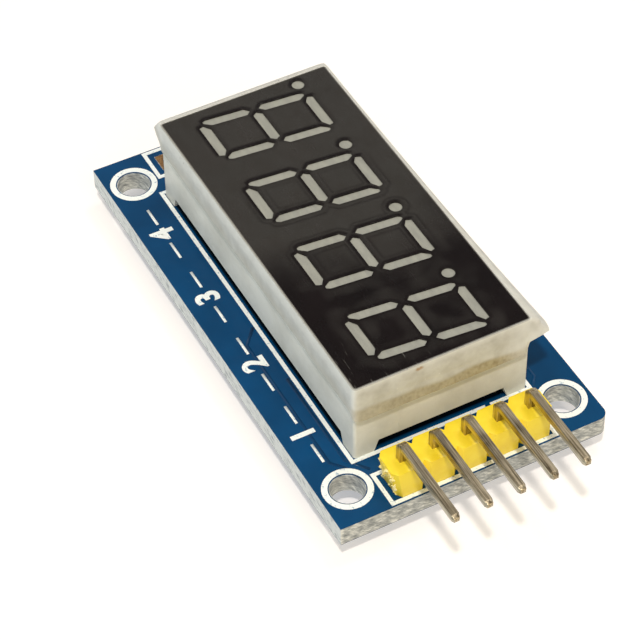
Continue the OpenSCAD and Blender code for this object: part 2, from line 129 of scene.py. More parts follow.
class BoardLooks(bpy.types.PropertyGroup):
    """Board, its coat, its print and its copper."""

    mask: colour_prop("Solder mask", "Colour of the coat", "#024473")
    mask_deep: colour_prop("Solder mask, deep", "Colour of the coat where it is thick", "#02385F")
    ink: colour_prop("Print", "Colour of the printed lines and numbers", "#F1F6F4")
    trace_width: size_prop("Track width", "Width of a copper track", 0.24)
    trace_height: size_prop("Track height", "How far a coated track stands up", 0.012)
    ink_spread: size_prop("Ink spread", "How far the ink of a printed line spreads to each side", 0.045)
    number_height: size_prop("Number height", "Height of the printed numbers", 1.7)


class DisplayLooks(bpy.types.PropertyGroup):
    """Housing, face and segments."""

    housing: colour_prop("Housing", "Colour of the moulded shell", "#EBEAE0")
    face: colour_prop("Face", "Colour of the black layer", "#0F0A0B")
    segment: colour_prop("Segments", "Colour of the cast epoxy", "#9B9C93")
    edge: size_prop("Edge radius", "Rounding of the shell's edges", 0.07)


class FilmLooks(bpy.types.PropertyGroup):
    """Protective film."""

    tone: colour_prop("Film", "Colour of the frosted film", "#D6D6CE")
    # Colour of the tan band: painted reflection of the yellow header and painted shade under the lifted edge
    tint: colour_prop("Film edge", "Colour of the lifted edge at the header end", "#A89D7D")
    thickness: size_prop("Film thickness", "Thickness of the film", 0.055)
    relief: size_prop("Film relief", "How far the film stands up where air is under it", 0.014)
    wave: size_prop("Film wave", "How far the free edge of the film wanders", 0.12)


class HeaderLooks(bpy.types.PropertyGroup):
    """Header body and pins."""

    body: colour_prop("Header", "Colour of the moulded strip", "#F3D933")
    pin: colour_prop("Pins", "Colour of the pin metal", "#DACBAE")
    broken_short: size_prop("Broken short", "How far inside its last notch the strip broke off", 0.22)
    undercut: size_prop("Undercut", "How far the broken end leans in from its top to its foot", 0.38)
    body_edge: size_prop("Header edge radius", "Rounding of the strip's edges", 0.05)
    pin_edge: size_prop("Pin edge radius", "Rounding of the pins' edges", 0.03)


class StageLooks(bpy.types.PropertyGroup):
    """Camera, floor and light."""

    lens: bpy.props.FloatProperty(
        name="Lens", description="Focal length on a 36 mm sensor", default=140.07, min=1, subtype="DISTANCE_CAMERA"
    )
    key: power_prop("Key lamp", 2.2)
    fill: power_prop("Fill lamp", 0.6)
    front: power_prop("Front lamp", 0.95)
    side: power_prop("Side lamp", 0.5)
    sky: bpy.props.FloatProperty(name="Sky", description="Strength of the light from above", default=0.36, min=0)
    bounce: bpy.props.FloatProperty(name="Bounce", description="Strength of the light from below", default=1.05, min=0)


# Small helpers for nodes and for modelling


def feed(made, links):
    """Links sockets to a node's inputs, or sets their values."""
    for key, value in links.items():
        if isinstance(value, bpy.types.NodeSocket):
            made.id_data.links.new(value, made.inputs[key])
        else:
            made.inputs[key].default_value = value


def add(tree, kind, links=None, out=0, step=None, stops=None, **settings):
    """Adds a shader node with its settings, inputs, a pattern's step in mm and a ramp's stops; gives one output,
    or the node itself where out is None."""
    made = tree.nodes.new("ShaderNode" + kind)
    for key, value in settings.items():
        setattr(made, key, value)
    feed(made, links or {})
    if step:
        made.inputs["Scale"].default_value = 1 / (step * MM)
    if stops:
        elements = made.color_ramp.elements
        for place, _ in stops[1:-1]:
            elements.new(place)
        for element, (place, colour) in zip(elements, stops):
            element.position = place
            element.color = linear(colour) if isinstance(colour, str) else [*colour[:3], 1]
    return made if out is None else made.outputs[out]


def blank(holder):
    """Clears the nodes of a material or a world and gives the function that adds new ones to it."""
    holder.use_nodes = True
    holder.node_tree.nodes.clear()
    return partial(add, holder.node_tree)


def finish(made, node, shader, tone, height=None, strength=0.2, depth=0.01, **more):
    """Feeds a shader its colour, a bump from a height, its depth in mm, and other values; gives the material."""
    if height is not None:
        more["Normal"] = node("Bump", {"Height": height, "Strength": strength, "Distance": depth * MM})
    feed(shader, {"Base Color": tone, **more})
    return made


def material(name, values):
    """Starts a material with one Principled shader; gives what adds nodes, the Object coordinates and what ends it."""
    made = bpy.data.materials.new(name)
    node = blank(made)
    shader = node("BsdfPrincipled", values, out=None)
    node("OutputMaterial", {"Surface": shader.outputs[0]}, out=None)
    return node, node("TexCoord", out="Object"), partial(finish, made, node, shader)


def wear(made, colour):
    """Gives a CAD node or piece its material."""
    made.data.materials.clear()
    made.data.materials.append(colour)


def only(obj):
    """Leaves obj as the one selected and active object."""
    bpy.ops.object.select_all(action="DESELECT")
    obj.select_set(True)
    bpy.context.view_layer.objects.active = obj


def named(name):
    """Names the object that an operator has just added."""
    obj = bpy.context.active_object
    obj.name = obj.data.name = name
    return obj


def settle(obj):
    """Puts an object's place, turn and scale into its mesh."""
    only(obj)
    bpy.ops.object.transform_apply(location=True, rotation=True, scale=True)
    return obj


def apply(obj, kind, **settings):
    """Adds a modifier with its settings and applies it."""
    only(obj)
    made = obj.modifiers.new(kind.title(), kind)
    for key, value in settings.items():
        setattr(made, key, value)
    bpy.ops.object.modifier_apply(modifier=made.name)


def smooth(obj, angle=35):
    """Smooth shading, with edges sharper than the angle left crisp."""
    only(obj)
    bpy.ops.object.shade_smooth_by_angle(angle=math.radians(angle))


def placed(name, data):
    """A new object in the scene."""
    obj = bpy.data.objects.new(name, data)
    bpy.context.scene.collection.objects.link(obj)
    return obj


@contextmanager
def editing(obj, select="SELECT", mode="EDGE"):
    """Edit mode on one object, with all or none of its mesh selected; gives the mesh."""
    only(obj)
    bpy.ops.object.mode_set(mode="EDIT")
    bpy.ops.mesh.select_mode(type=mode)
    bpy.ops.mesh.select_all(action=select)
    yield bmesh.from_edit_mesh(obj.data)
    bmesh.update_edit_mesh(obj.data)
    bpy.ops.object.mode_set(mode="OBJECT")


def copy_of(node, name):
    """A copy of a CAD node with its triangles merged and flat areas joined."""
    obj = placed(name, NODES[node].data.copy())
    obj.data.materials.clear()
    with editing(obj):
        bpy.ops.mesh.customdata_custom_splitnormals_clear()
        bpy.ops.mesh.remove_doubles(threshold=1e-7)
        bpy.ops.mesh.dissolve_limited(angle_limit=math.radians(0.5))
    return obj


def soften(obj, width, segments=2, angle=30, test=None):
    """Rounds the edges sharper than the angle, or those of them whose two ends pass the test."""
    with editing(obj, "DESELECT") as mesh:
        for e in mesh.edges:
            sharp = len(e.link_faces) == 2 and e.calc_face_angle(0) > math.radians(angle)
            e.select_set(sharp and (test is None or all(test(v.co) for v in e.verts)))
        mesh.select_flush(True)
        bmesh.update_edit_mesh(obj.data)
        bpy.ops.mesh.bevel(offset=width, offset_type="OFFSET", segments=segments, affect="EDGES", clamp_overlap=True)
    smooth(obj)


def seat(obj, colour, slot, *nodes):
    """Gives a piece its material, puts it on the part's body, and hides the nodes that it stands for; its slot is not
    used.
    """
    wear(obj, colour)
    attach(obj, "root")
    if nodes:
        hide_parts(*nodes)
    return obj


def rounded(node, name, edge, colour, slot, **how):
    """A piece that stands for a CAD node: its copy with rounded edges."""
    obj = copy_of(node, name)
    soften(obj, edge, **how)
    return seat(obj, colour, slot, node)


def strewn(first, spots):
    """Copies a mesh to each place, turn in degrees and size, and joins the copies in its stead."""
    name = first.name
    made = []
    for place, turn, size in spots:
        other = placed(name, first.data.copy())
        other.location = place
        other.rotation_euler.z = math.radians(turn)
        other.scale = size
        made.append(settle(other))
    bpy.data.objects.remove(first)
    only(made[0])
    for other in made:
        other.select_set(True)
    bpy.ops.object.join()
    return named(name)


def ribbons(name, lines, width, low, high):
    """Flat strips along bent lines, in mm: a wall raised on each line, then thickened sideways."""
    curve = bpy.data.curves.new(name, "CURVE")
    curve.dimensions = "2D"
    curve.extrude = (high - low) / 2
    for points in lines:
        spline = curve.splines.new("POLY")
        spline.points.add(len(points) - 1)
        for p, (x, y) in zip(spline.points, points):
            p.co = (x * MM, y * MM, 0, 1)
    obj = placed(name, curve)
    obj.location.z = (low + high) / 2
    only(obj)
    bpy.ops.object.convert(target="MESH")
    obj = settle(bpy.context.active_object)
    apply(obj, "SOLIDIFY", thickness=width, offset=0, use_even_offset=True)
    return obj


# Materials, each named for the real one


def specks(node, spot, step, radius):
    """Share of cover by small dots, one to a cell of the given step, both in mm, where a coarse noise lets them."""
    dots = node("TexVoronoi", {"Vector": spot}, step=step, out="Distance")
    edge = radius / step
    cover = node("MapRange", {"Value": dots, "From Min": edge * 0.6, "From Max": edge, "To Min": 1, "To Max": 0})
    patch = node("TexNoise", {"Vector": spot}, step=step * 3)
    where = node("MapRange", {"Value": patch, "From Min": 0.5, "From Max": 0.6})
    return node("Math", {0: cover, 1: where}, operation="MULTIPLY")


def glass_fibre_laminate():
    # Epoxy and glass cloth, sawn: grey and mottled, with the cloth's layers as faint level bands and saw marks across
    node, spot, end = material("glass fibre laminate, sawn", {"Roughness": 0.62, "IOR": 1.55})
    level = node("Mapping", {"Vector": spot, "Scale": (1, 1, 5)})
    layers = node("TexNoise", {"Vector": level, "Detail": 6, "Roughness": 0.7}, step=0.55)
    leant = node("Mapping", {"Vector": spot, "Rotation": (-0.5, 0.5, 0)})
    leant = node("Mapping", {"Vector": leant, "Scale": (0.3, 0.3, 1)})
    marks = node("TexNoise", {"Vector": leant, "Detail": 5}, step=0.2)
    both = node("Math", {0: layers, 1: marks}, operation="ADD")
    # Painted light: paler on the two long edges, as if lit from below
    across = node("Math", {0: node("SeparateXYZ", {0: spot}, out=1)}, operation="ABSOLUTE")
    edge = BOARD_HIGH.y
    lit_edges = node("MapRange", {"Value": across, "From Min": edge - 0.3 * MM, "From Max": edge, "To Max": 0.24})
    both = node("Math", {0: both, 1: lit_edges}, operation="ADD")
    mean = node("Math", {0: both, 1: 0.5}, operation="MULTIPLY")
    tone = node("ValToRGB", {"Fac": mean}, stops=[(0.36, "#686D70"), (0.5, "#A4A7A6"), (0.63, "#E0E0DB")])
    return end(tone, both, 0.5, 0.05)


def cured_mask(look, name, painted_shade_box=None):
    # Cured epoxy ink over copper: deep even blue with a wet gloss, faintly cloudy and dusted with pale specks,
    # with painted shade that makes it nearly black under the display, standing for the display's shadow
    node, spot, end = material(name, {"Roughness": 0.27, "IOR": 1.52, "Specular IOR Level": 0.2})
    cloud = node("TexNoise", {"Vector": spot, "Detail": 4}, step=5)
    tone = node("ValToRGB", {"Fac": cloud}, stops=[(0.3, look.mask_deep), (0.68, look.mask)])
    dust = specks(node, spot, 1.7, 0.05)
    tone = node("Mix", {0: dust, 6: tone, 7: linear("#8FA6BC")}, data_type="RGBA", out=2)
    # Painted shade: nearly black inside the display's box, fading out at its edge
    if painted_shade_box:
        share = node("Mapping", {"Vector": spot, "Scale": (1 / painted_shade_box.x, 1 / painted_shade_box.y, 0)})
        share = node("VectorMath", {0: share}, operation="ABSOLUTE")
        x, y, _ = node("SeparateXYZ", {0: share}, out=None).outputs
        share = node("Math", {0: x, 1: y}, operation="MAXIMUM")
        share = node("MapRange", {"Value": share, "From Min": 0.972, "From Max": 0.992, "To Min": 1, "To Max": 0})
        tone = node("Mix", {0: share, 6: tone, 7: linear("#011322")}, data_type="RGBA", out=2)
    peel = node("TexNoise", {"Vector": spot, "Detail": 2}, step=0.5)
    return end(tone, peel, 0.15)


def coated_track():
    # The same coat drawn thin over a copper edge: a shade darker than the open board
    node, spot, end = material("solder mask over tracks", {"Roughness": 0.25, "IOR": 1.52, "Specular IOR Level": 0.2})
    cloud = node("TexNoise", {"Vector": spot, "Detail": 3}, step=2)
    tone = node("ValToRGB", {"Fac": cloud}, stops=[(0.3, "#02335A"), (0.7, "#023C66")])
    return end(tone)


def screen_ink(look):
    # Screen printed epoxy ink: matt white, a little uneven, the blue just showing where it is thin
    node, spot, end = material("screen ink, white epoxy", {"Roughness": 0.55, "IOR": 1.5})
    thin = node("TexNoise", {"Vector": spot, "Detail": 4}, step=0.22)
    tone = node("ValToRGB", {"Fac": thin}, stops=[(0.27, "#9FB6C8"), (0.42, look.ink)])
    return end(tone, thin, 0.3)


def metal(name, dark, pale, grain, roughness, stretch=(1, 1, 1), step=0.12, bend=None):
    """A metal with lines drawn along the axis whose stretch is small, or upright past the bend at that x."""
    node, spot, end = material(name, {"Metallic": 1.0})
    drawn = node("Mapping", {"Vector": spot, "Scale": stretch})
    if bend is not None:
        upright = node("Mapping", {"Vector": spot, "Scale": stretch[::-1]})
        x = node("SeparateXYZ", {0: spot})
        past = node("MapRange", {"Value": x, "From Min": bend - 0.2 * MM, "From Max": bend})
        drawn = node("Mix", {0: past, 4: drawn, 5: upright}, data_type="VECTOR", out=1)
    lines = node("TexNoise", {"Vector": drawn, "Detail": 5}, step=step)
    stain = node("TexNoise", {"Vector": spot, "Detail": 3}, step=grain)
    both = node("Mix", {0: 0.3, 2: lines, 3: stain})
    tone = node("ValToRGB", {"Fac": both}, stops=[(0.34, dark), (0.64, pale)])
    rough = node("MapRange", {"Value": lines, "To Min": roughness * 0.7, "To Max": roughness * 1.4})
    return end(tone, lines, 0.35, Roughness=rough)


def moulded(name, base, stain, roughness, speck=None, step=4.0, skin=0.2):
    """A moulded plastic with clouded colour, a fine skin and, if asked, dirt specks of a colour."""
    node, spot, end = material(name, {"Roughness": roughness, "IOR": 1.49})
    cloud = node("TexNoise", {"Vector": spot, "Detail": 5, "Roughness": 0.6}, step=step)
    tone = node("ValToRGB", {"Fac": cloud}, stops=[(0.32, stain), (0.6, base)])
    if speck:
        tone = node("Mix", {0: specks(node, spot, 1.1, 0.05), 6: tone, 7: linear(speck)}, data_type="RGBA", out=2)
    pores = node("TexNoise", {"Vector": spot, "Detail": 3}, step=0.14)
    return end(tone, pores, skin)


def cast_epoxy(look):
    # Cast diffusing epoxy: pale grey, even, with faint slanting streaks of deeper grey, satin under the film
    node, spot, end = material("diffusing epoxy, cast", {"Roughness": 0.4, "IOR": 1.53})
    flow = node("Mapping", {"Vector": spot, "Rotation": (0, 0, 0.55), "Scale": (0.3, 1, 1)})
    cloud = node("TexNoise", {"Vector": flow, "Detail": 3}, step=0.45)
    tone = node("ValToRGB", {"Fac": cloud}, stops=[(0.3, "#8D8E87"), (0.65, look.segment)])
    return end(tone)


def black_layer(look):
    # Black printed layer on the face: near black, glossy, with fine wipe marks
    node, spot, end = material("face layer, black gloss", {"IOR": 1.5, "Specular IOR Level": 0.12})
    cloud = node("TexNoise", {"Vector": spot, "Detail": 3}, step=3)
    tone = node("ValToRGB", {"Fac": cloud}, stops=[(0.3, look.face), (0.7, "#150F10")])
    wiped = node("Mapping", {"Vector": spot, "Rotation": (0, 0, 0.5), "Scale": (0.1, 1, 1)})
    marks = node("TexNoise", {"Vector": wiped, "Detail": 3}, step=0.4)
    rough = node("MapRange", {"Value": marks, "To Min": 0.14, "To Max": 0.34})
    return end(tone, Roughness=rough)


def frosted_film(look):
    # Polyethylene cover film: clear, with a painted brown-grey sheen standing for its reflection where air is under
    # it, milky where it is folded down, with a rough tan band of painted reflection and shade along its lifted edge, a
    # crease whitened partly by painted highlight and painted light, and a few dirt specks, bubbles painted as glints,
    # and scratches
    node, spot, end = material("cover film, polyethylene", {"Roughness": 0.34, "IOR": 1.5})
    air, fold, crease, tint, scuff = [node("Attribute", attribute_name=n, out="Fac") for n in FILM_MARKS]
    milk = node("TexNoise", {"Vector": spot, "Detail": 5}, step=1.2)
    tone = node("ValToRGB", {"Fac": milk}, stops=[(0.3, "#CBC9BF"), (0.62, look.tone)])
    upright = node("Mapping", {"Vector": spot, "Scale": (1, 1, 0.8)})
    stripe = node("TexNoise", {"Vector": upright, "Detail": 6}, step=0.3)
    # Tan band: painted reflection of the yellow header and painted shade, in fine upright stripes
    tan = node("ValToRGB", {"Fac": stripe}, stops=[(0.32, "#857752"), (0.64, look.tint)])
    # Bubbles and dents in the film: painted highlights, as near white specks
    bubble_glints = specks(node, spot, 0.9, 0.075)
    aside = node("Mapping", {"Vector": spot, "Location": (0.003, 0.005, 0)})
    dirt = specks(node, aside, 1.3, 0.065)
    # One rust fleck high on the header end, about 0.5 mm long: its middle and its half lengths in mm
    middle, halves = (-15.35, 1.96, 8.45), (0.6, 0.5, 0.27)
    shift = [-m / h for m, h in zip(middle, halves)]
    fleck = node("Mapping", {"Vector": spot, "Location": shift, "Scale": [1 / (h * MM) for h in halves]})
    fleck = node("TexGradient", {"Vector": fleck}, gradient_type="SPHERICAL", out="Fac")
    fleck = node("Math", {0: fleck, 1: stripe}, operation="MULTIPLY")
    fleck = node("MapRange", {"Value": fleck, "From Min": 0.1, "From Max": 0.3, "To Max": 0.8})
    shares = (tint, crease, bubble_glints, dirt, fleck)
    colours = (tan, *[linear(c) for c in ("#E4E5E0", "#FBFAF5", "#5A5044", "#A67A40")])
    for share, colour in zip(shares, colours):
        tone = node("Mix", {0: share, 6: tone, 7: colour}, data_type="RGBA", out=2)
    # Painted sheen: a thin pale film colour over the black face stands for its reflection, more where air is under it
    painted_sheen = node("MapRange", {"Value": air, "To Min": 0.001, "To Max": 0.026})
    lines = node("Mapping", {"Vector": spot, "Rotation": (0, 0, 0.9), "Scale": (0.12, 1, 1)})
    lines = node("TexNoise", {"Vector": lines, "Detail": 1}, step=0.16)
    lines = node("MapRange", {"Value": lines, "From Min": 0.72, "From Max": 0.8})
    lines = node("Math", {0: lines, 1: scuff}, operation="MULTIPLY")
    painted_sheen = node("Mix", {0: lines, 2: painted_sheen, 3: 0.28})
    solid = node("MapRange", {"Value": milk, "From Min": 0.3, "From Max": 0.7, "To Min": 0.7, "To Max": 0.86})
    solid = node("Mix", {0: tint, 2: solid, 3: 1.0})
    cover = node("Mix", {0: fold, 2: painted_sheen, 3: solid})
    # Crease: nearly opaque and whitened, partly stress whitening of the fold and partly painted highlight and painted
    # light
    cover = node("Mix", {0: crease, 2: cover, 3: 0.94})
    grain = node("Mix", {0: tint, 2: milk, 3: stripe})
    return end(tone, grain, 0.25, 0.02, Alpha=cover)


# Operators, one for each piece or group of like pieces


class SEVENSEG_OT_board(bpy.types.Operator):
    """Finishes the board, its coat, its print and its empty pin row"""

    bl_idname = "sevenseg.board"
    bl_label = "Board"

    # A via: its radius and height, and the width and depth of each ring let into it, in mm
    VIA = (0.34, 0.03)
    VIA_RINGS = ((0.06, 0), (0.09, 0), (0.05, -0.02))

    def execute(self, context):
        look = context.scene.sevenseg_board
        ink = screen_ink(look)
        wear(NODES["circuit_board"], glass_fibre_laminate())
        # The top coat gets painted shade under the display
        wear(NODES["solder_mask_top"], cured_mask(look, "solder mask, blue epoxy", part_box("display_housing")[1]))
        wear(NODES["solder_mask_bottom"], cured_mask(look, "solder mask, blue epoxy below"))
        seat(self.printing(look), ink, "white_ink", "silkscreen_top")
        # Bare copper gone dull: brown and patchy
        copper = metal("copper land, dulled", "#6E4F34", "#B58C5E", 0.5, 0.45)
        for name in [n for n in NODES if n.startswith("spare_hole")]:
            wear(NODES[name], copper)
        # Land under solder: tin grey, wiped thin
        wear(NODES["lands"], metal("copper land, tinned", "#85837C", "#C9C8C2", 0.4, 0.35))
        track = coated_track()
        tracks = {
            "tracks_upper": (UPPER_TRACKS, MASK_TOP - SUNK, MASK_TOP + look.trace_height),
            "tracks_under": (UNDER_TRACKS, MASK_UNDER - look.trace_height, MASK_UNDER + SUNK),
        }
        for name, (lines, low, high) in tracks.items():
            seat(ribbons(name, lines, look.trace_width, low, high), track, "blue_solder_mask")
        seat(self.vias(), track, "blue_solder_mask")
        seat(ribbons("digit_marks", DIGIT_MARKS, MARK_WIDTH, MASK_TOP, MASK_TOP + INK), ink, "white_ink")
        for i, x in enumerate(DIGITS_AT, 1):
            bpy.ops.object.text_add(location=(x * MM, DIGIT_ROW * MM, MASK_TOP + INK / 2))
            number = bpy.context.active_object.data
            number.body = str(i)
            number.align_x, number.align_y = "CENTER", "CENTER"
            number.size = look.number_height / NUMBER_SHARE
            number.extrude = INK / 2
            number.offset = NUMBER_BOLD
            bpy.ops.object.convert(target="MESH")
            seat(settle(named(f"number_{i}")), ink, "white_ink")
        return {"FINISHED"}

    def printing(self, look):
        """The printed lines, with the ink spread sideways as it left the screen."""
        lines = copy_of("silkscreen_top", "print_lines")
        levels = [v.co.z for v in lines.data.vertices]
        with editing(lines):
            bpy.ops.transform.shrink_fatten(value=look.ink_spread, use_even_offset=True)
        for v, level in zip(lines.data.vertices, levels):
            v.co.z = level
        return lines

    def vias(self):
        """Coated vias where tracks below end: one dished ring, copied."""
        radius, height = self.VIA
        bpy.ops.mesh.primitive_cylinder_add(vertices=32, radius=radius * MM, depth=height * MM)
        first = settle(named("vias"))
        with editing(first, "DESELECT", "FACE") as mesh:
            for f in mesh.faces:
                f.select_set(f.normal.z < -0.9)
            for width, depth in self.VIA_RINGS:
                bpy.ops.mesh.inset(thickness=width * MM, depth=depth * MM)
        smooth(first, 60)
        return strewn(first, [((x * MM, y * MM, MASK_UNDER + 0.001 * MM), 0, (1, 1, 1)) for x, y in VIAS])


class SEVENSEG_OT_housing(bpy.types.Operator):
    """Models the display's shell with rounded edges"""

    bl_idname = "sevenseg.housing"
    bl_label = "Housing"

    # How near the outer walls an edge is rounded, and the witness line from the header end's foot
    OUTSIDE = 0.3 * MM
    LINE_PLACE = Vector((0, 3.4, 2.8)) * MM
    LINE_SIZE = Vector((0.03, 0.07, 3.4)) * MM
    LINE_EDGE = 0.012 * MM

    def execute(self, context):
        look = context.scene.sevenseg_display
        low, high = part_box("display_housing")
        # Moulded filled polymer: off-white, satin, with a little handling dirt
        plastic = moulded("housing polymer, moulded white", look.housing, "#D6D4C8", 0.42, "#8B8474", skin=1.0)

        def outside(p):
            return min(p.x - low.x, high.x - p.x, p.y - low.y, high.y - p.y) < self.OUTSIDE

        rounded("display_housing", "housing", look.edge, plastic, "white_housing", segments=3, test=outside)
        # Witness line of the mould down the header end
        place = Vector((low.x, 0, low.z)) + self.LINE_PLACE
        bpy.ops.mesh.primitive_cube_add(size=1, location=place, scale=self.LINE_SIZE)
        line = settle(named("housing_witness_line"))
        soften(line, self.LINE_EDGE)
        seat(line, plastic, "white_housing")
        return {"FINISHED"}


class SEVENSEG_OT_face(bpy.types.Operator):
    """Finishes the black face, the segments and what is behind them"""

    bl_idname = "sevenseg.face"
    bl_label = "Face and segments"

    def execute(self, context):
        look = context.scene.sevenseg_display
        wear(NODES["face_overlay"], black_layer(look))
        epoxy = cast_epoxy(look)
        # Sawn crystal: pale straw, nearly matt
        die = moulded("light die, sawn crystal", "#D9CC93", "#C2B170", 0.5, step=0.2)
        for i in range(1, 5):
            wear(NODES[f"digit_{i}_segments"], epoxy)
            wear(NODES[f"digit_{i}_dice"], die)
        # Paper laminate: straw brown; poured resin: grey-white with a wet skin
        wear(NODES["light_board"], moulded("light board, paper laminate", "#C7B06A", "#AF985A", 0.6, step=1.0))
        wear(NODES["potting"], moulded("back resin, poured", "#BBB8A8", "#A7A392", 0.3, step=2.5))
        # Tinned copper wire: bright grey, drawn lengthways
        wire = metal("copper wire, tinned", "#8E8D88", "#C9C8C2", 0.8, 0.3, (1, 1, 0.05))
        for i in range(1, 13):
            wear(NODES[f"display_pin_{i}"], wire)
        return {"FINISHED"}


class SEVENSEG_OT_film(bpy.types.Operator):
    """Models the cover film: a sheet on the face, folded down or flaring at its edges"""

    bl_idname = "sevenseg.film"
    bl_label = "Cover film"

    # Mesh step, radius of the sheet's corners, and gap over the face
    STEP = 0.13 * MM
    CORNER = 0.25 * MM
    GAP = 0.006 * MM
    # Reach half way down and at the free edge, in mm, and the share of the drop that is passed half way
    SIDES = {
        "front": (0.12, 0.30, 0.55),
        "right": (0.80, 1.42, 0.42),
        "right_far": (0.20, 0.36, 0.42),
        "back": (0.46, 0.85, 0.35),
        "left": (0.12, 0.17, 0.50),
    }
    # Round each corner, from the end's side (1) by the corner (0) to the long side (-1), over ZONE each way:
    # shares of the end's and the long side's reach, and the drop of the free edge in mm
    ZONE = 0.45 * MM
    CORNERS = {
        ("front", "right"): ((1, 1, 0, 3.0), (0.6, 1, 0, 1.92), (0, 1, 1, 1.64), (-1, 0, 1, 1.35)),
        ("front", "left"): ((1, 1, 0, 3.0), (0, 1, 1, 2.8), (-1, 0, 1, 2.2)),
        ("back", "right"): ((1, 1, 0, 0.65), (0, 1, 1, 0.6), (-1, 0, 1, 0.5)),
        ("back", "left"): ((1, 1, 0, 0.65), (0, 1, 1, 0.85), (-0.6, 0, 1, 1.65), (-1, 0, 1, 2.2)),
    }
    RINGS = (0.02, 0.06, 0.15, 0.27, 0.39, 0.45, 0.5, 0.55, 0.6, 0.65, 0.7, 0.75, 0.8, 0.87, 0.94, 1.0)

    def station(self, place, middle, half):
        """What shapes the skirt below one point of the sheet's edge."""
        d = place - middle
        along = (d.x / half.x + 1) / 2
        ends = ("back" if d.x > 0 else "front", "left" if d.y > 0 else "right")
        reach = [self.SIDES[e] for e in ends]
        if ends[1] == "right":
            near = (1 - along) ** 1.8
            reach[1] = [b + (a - b) * near for a, b in zip(self.SIDES["right"], self.SIDES["right_far"])]
        turn = max(-1, min(1, (half.y - abs(d.y) - half.x + abs(d.x)) / self.ZONE))
        rows = self.CORNERS[ends]
        for a, b in zip(rows, rows[1:]):
            if turn >= b[0]:
                break
        shares = [m + (n - m) * (turn - a[0]) / (b[0] - a[0]) for m, n in zip(a, b)][1:]
        if ends[1] == "right" and turn == -1:
            near, far = [self.CORNERS[e, "right"][-1][3] for e in ("front", "back")]
            shares[2] = near + (far - near) * along
        ways = (Vector((math.copysign(1, d.x), 0, 0)), Vector((0, math.copysign(1, d.y), 0)))
        return place, ways, reach, shares, ends

    def skirt(self, ways, reach, shares, t):
        """Move out and drop, in mm, at a share t of the way to the free edge."""
        out = Vector()
        for way, (mid, edge, _), share in zip(ways, reach, shares):
            f = min(1, t / 0.5)
            level = mid * min(1, 2.2 * f - 1.2 * f * f)
            if t > 0.5:
                level = mid + (edge - mid) * ((t - 0.5) / 0.5) ** 1.3
            out += way * (level * share)
        total = shares[0] + shares[1]
        half_way = sum(r[2] * s for r, s in zip(reach, shares)) / total
        passed = half_way * t / 0.5 if t < 0.5 else half_way + (1 - half_way) * (t - 0.5) / 0.5
        return out, shares[2] * passed

    def execute(self, context):
        look = context.scene.sevenseg_film
        middle = (FACE_LOW + FACE_HIGH) / 2
        half = (FACE_HIGH - FACE_LOW) / 2
        counts = [round(2 * h / self.STEP) for h in half[:2]]
        place = (middle.x, middle.y, FACE_HIGH.z + self.GAP)
        bpy.ops.mesh.primitive_grid_add(x_subdivisions=counts[0], y_subdivisions=counts[1], size=2, location=place)
        film = named("cover_film")
        film.scale = (half.x, half.y, 1)
        settle(film)
        for name in FILM_MARKS:
            film.data.attributes.new(name, "FLOAT", "POINT")
        bpy.ops.object.mode_set(mode="EDIT")
        bpy.ops.mesh.select_mode(type="EDGE")
        mesh = bmesh.from_edit_mesh(film.data)
        self.lay(mesh, middle, half, look)
        # The edge of the sheet, with the way out of each point and the values of its side
        ring = {}
        bpy.ops.mesh.select_all(action="DESELECT")
        for e in mesh.edges:
            e.select_set(e.is_boundary)
        for v in {v for e in mesh.edges if e.is_boundary for v in e.verts}:
            ring[key(v.co)] = self.station(v.co.copy(), middle, half)
        bmesh.update_edit_mesh(film.data)
        for t in self.RINGS:
            bpy.ops.mesh.extrude_edges_move()
            mesh = bmesh.from_edit_mesh(film.data)
            fold, crease, tint = [mesh.verts.layers.float[n] for n in ("fold", "crease", "tint")]
            moved = {}
            for v in [v for v in mesh.verts if v.select]:
                place, ways, reach, shares, ends = ring[key(v.co)]
                out, drop = self.skirt(ways, reach, shares, t)
                front = shares[0] if ends[0] == "front" else 0
                left = shares[1] if ends[1] == "left" else 0
                wander = (noise.noise(place * 320) + 0.5 * noise.noise(place * 1100)) * t * t * look.wave / MM
                drop += 0.5 * wander * (1 - 0.8 * front) * (1 - 0.6 * left)
                out += out.normalized() * (0.3 * wander * min(1, out.length))
                v.co = place + out * MM - Vector((0, 0, drop * MM))
                v[fold] = min(1, 0.9 + t) * (1 - 0.1 * left * (1 - front))
                # Crease: whitening at the top of the fold with a painted highlight there, painted light lifting the
                # left flap, and painted light on the front flap towards its right end
                v[crease] = max(
                    (1 - ramp(drop + out.length, 0.1, 0.45)) * max(0.5 * front, 0.2),
                    left * (0.66 - 0.42 * ramp(t, 0.1, 0.8)),
                    0.5 * front * (1 - shares[1]) * ramp(-place.y / half.y, 0.55, 0.95),
                )
                # Tan band along the front flap's lifted edge: painted reflection of the yellow header and painted
                # shade; the same tan, fainter, low on the left flap
                wide = 0.06 * place.y / half.y + 0.10 * noise.noise(place * 420)
                band = ramp(t, 0.62 - wide, 0.76 - wide) * front * ramp(shares[2], 2.2, 2.7)
                patch = left * (1 - front) * ramp(t + 0.35 * noise.noise(place * 600), 0.5, 0.9)
                v[tint] = band * (0.8 - 0.2 * place.y / half.y) + 0.3 * patch
                moved[key(v.co)] = (place, ways, reach, shares, ends)
            ring = moved
            bmesh.update_edit_mesh(film.data)
        bpy.ops.object.mode_set(mode="OBJECT")
        apply(film, "SOLIDIFY", thickness=look.thickness, offset=1, use_even_offset=False)
        smooth(film, 50)
        seat(film, frosted_film(look), "frosted_film", "protective_film")
        return {"FINISHED"}

